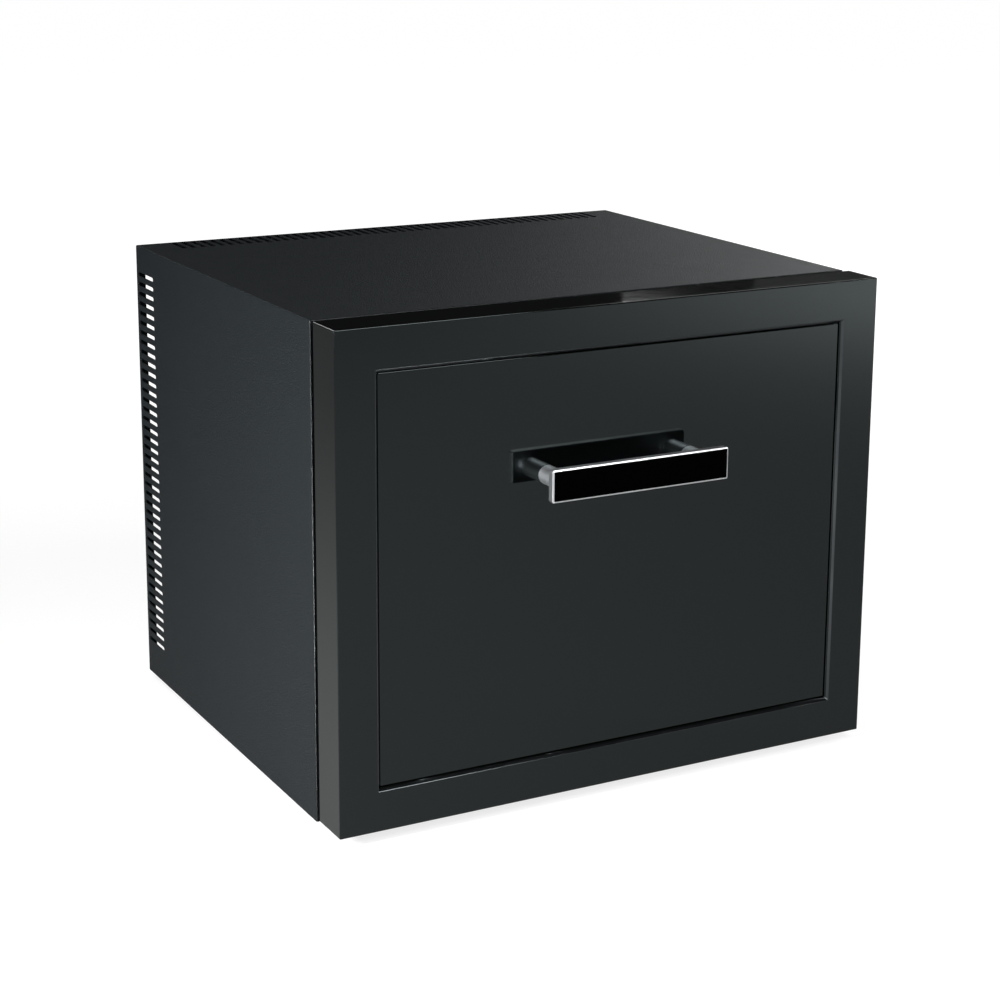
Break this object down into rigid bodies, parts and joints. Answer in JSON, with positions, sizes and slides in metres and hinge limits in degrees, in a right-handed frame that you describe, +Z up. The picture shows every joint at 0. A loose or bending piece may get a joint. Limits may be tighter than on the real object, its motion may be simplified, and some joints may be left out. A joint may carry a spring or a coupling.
{
  "type": "hotel minibar cabinet",
  "caption": "Cooled hotel minibar cabinet with a full-extension pull-out drawer, a recessed gloss front with a bar handle, a slotted steel casing and an absorption cooling unit.",
  "frame": {"origin": "middle of the bounding box at floor level, under the feet", "axes": "+Z up, the drawer opens along -Y, +X to the right seen from the front"},
  "size_m": [0.482, 0.4588, 0.3987],
  "materials": {
    "casing_paint": "matte",
    "zinc_steel": "satin",
    "foam": "matte",
    "liner_plastic": "satin",
    "foot_rubber": "matte",
    "screw_steel": "satin",
    "rail_steel": "satin",
    "cover_steel": "satin",
    "unit_paint": "satin",
    "fin_paint": "satin",
    "cold_aluminium": "satin",
    "black_plastic": "satin",
    "lens_plastic": "satin",
    "board": "satin",
    "knob_plastic": "satin",
    "ball_steel": "polished",
    "front_gloss": "gloss",
    "panel_gloss": "gloss",
    "gasket_rubber": "matte",
    "handle_chrome": "polished",
    "insert_gloss": "gloss",
    "post_chrome": "satin",
    "side_steel": "satin",
    "basket_plastic": "satin",
    "divider_plastic": "satin"
  },
  "bodies": {
    "cabinet": {"outer_casing": "casing_paint", "base_plate": "zinc_steel", "rear_bulkhead": "zinc_steel", "cabinet_insulation": "foam", "inner_liner": "liner_plastic", "foot_front_left": "foot_rubber", "foot_front_right": "foot_rubber", "foot_rear_left": "foot_rubber", "foot_rear_right": "foot_rubber", "base_screws": "screw_steel", "rail_backing_left": "zinc_steel", "rail_backing_right": "zinc_steel", "outer_rail_left": "rail_steel", "outer_rail_right": "rail_steel", "rail_screws": "screw_steel", "boiler_cover": "cover_steel", "boiler_insulation": "foam", "boiler_tube": "unit_paint", "heater_cartridge": "screw_steel", "condenser_pipe": "unit_paint", "condenser_fins": "fin_paint", "return_pipe": "unit_paint", "solution_pipe": "unit_paint", "absorber_vessel": "unit_paint", "absorber_coil": "unit_paint", "vessel_saddle_left": "zinc_steel", "vessel_saddle_right": "zinc_steel", "cold_plate": "cold_aluminium", "terminal_box": "black_plastic", "cable_gland": "black_plastic", "thermostat_housing": "liner_plastic", "lamp_lens": "lens_plastic", "lamp_board": "board", "reed_switch": "black_plastic"},
    "drawer": {"front_frame": "front_gloss", "front_panel": "panel_gloss", "front_insulation": "foam", "front_liner": "liner_plastic", "door_gasket": "gasket_rubber", "handle_bar": "handle_chrome", "handle_insert": "insert_gloss", "handle_post_left": "post_chrome", "handle_post_right": "post_chrome", "handle_screws": "screw_steel", "drawer_side_left": "side_steel", "drawer_side_right": "side_steel", "drawer_screws": "screw_steel", "inner_rail_left": "rail_steel", "inner_rail_right": "rail_steel", "basket": "basket_plastic", "basket_partition": "basket_plastic", "reed_magnet": "black_plastic"},
    "middle_left": {"middle_rail_left": "rail_steel"},
    "outer_balls_left": {"outer_cage_left": "ball_steel"},
    "inner_balls_left": {"inner_cage_left": "ball_steel"},
    "middle_right": {"middle_rail_right": "rail_steel"},
    "outer_balls_right": {"outer_cage_right": "ball_steel"},
    "inner_balls_right": {"inner_cage_right": "ball_steel"},
    "knob": {"thermostat_knob": "knob_plastic"},
    "divider": {"sliding_divider": "divider_plastic"}
  },
  "joints": [
    {"name": "drawer_slide", "type": "slide", "parent": "cabinet", "child": "drawer", "axis": [0, -1, 0], "range_m": [0, 0.25]},
    {"name": "middle_left_slide", "type": "slide", "parent": "cabinet", "child": "middle_left", "axis": [0, -1, 0], "range_m": [0, 0.125]},
    {"name": "outer_balls_left_slide", "type": "slide", "parent": "cabinet", "child": "outer_balls_left", "axis": [0, -1, 0], "range_m": [0, 0.0625]},
    {"name": "inner_balls_left_slide", "type": "slide", "parent": "cabinet", "child": "inner_balls_left", "axis": [0, -1, 0], "range_m": [0, 0.1875]},
    {"name": "middle_right_slide", "type": "slide", "parent": "cabinet", "child": "middle_right", "axis": [0, -1, 0], "range_m": [0, 0.125]},
    {"name": "outer_balls_right_slide", "type": "slide", "parent": "cabinet", "child": "outer_balls_right", "axis": [0, -1, 0], "range_m": [0, 0.0625]},
    {"name": "inner_balls_right_slide", "type": "slide", "parent": "cabinet", "child": "inner_balls_right", "axis": [0, -1, 0], "range_m": [0, 0.1875]},
    {"name": "knob_turn", "type": "hinge", "parent": "cabinet", "child": "knob", "pos_m": [0.172, -0.136, 0.352], "axis": [0, 1, 0], "range_deg": [0, 270]},
    {"name": "divider_slide", "type": "slide", "parent": "drawer", "child": "divider", "axis": [0, 1, 0], "range_m": [-0.115, 0.098]}
  ],
  "couplings": [
    {"joint": "middle_left_slide", "follows": "drawer_slide", "ratio": 0.5},
    {"joint": "outer_balls_left_slide", "follows": "drawer_slide", "ratio": 0.25},
    {"joint": "inner_balls_left_slide", "follows": "drawer_slide", "ratio": 0.75},
    {"joint": "middle_right_slide", "follows": "drawer_slide", "ratio": 0.5},
    {"joint": "outer_balls_right_slide", "follows": "drawer_slide", "ratio": 0.25},
    {"joint": "inner_balls_right_slide", "follows": "drawer_slide", "ratio": 0.75}
  ]
}
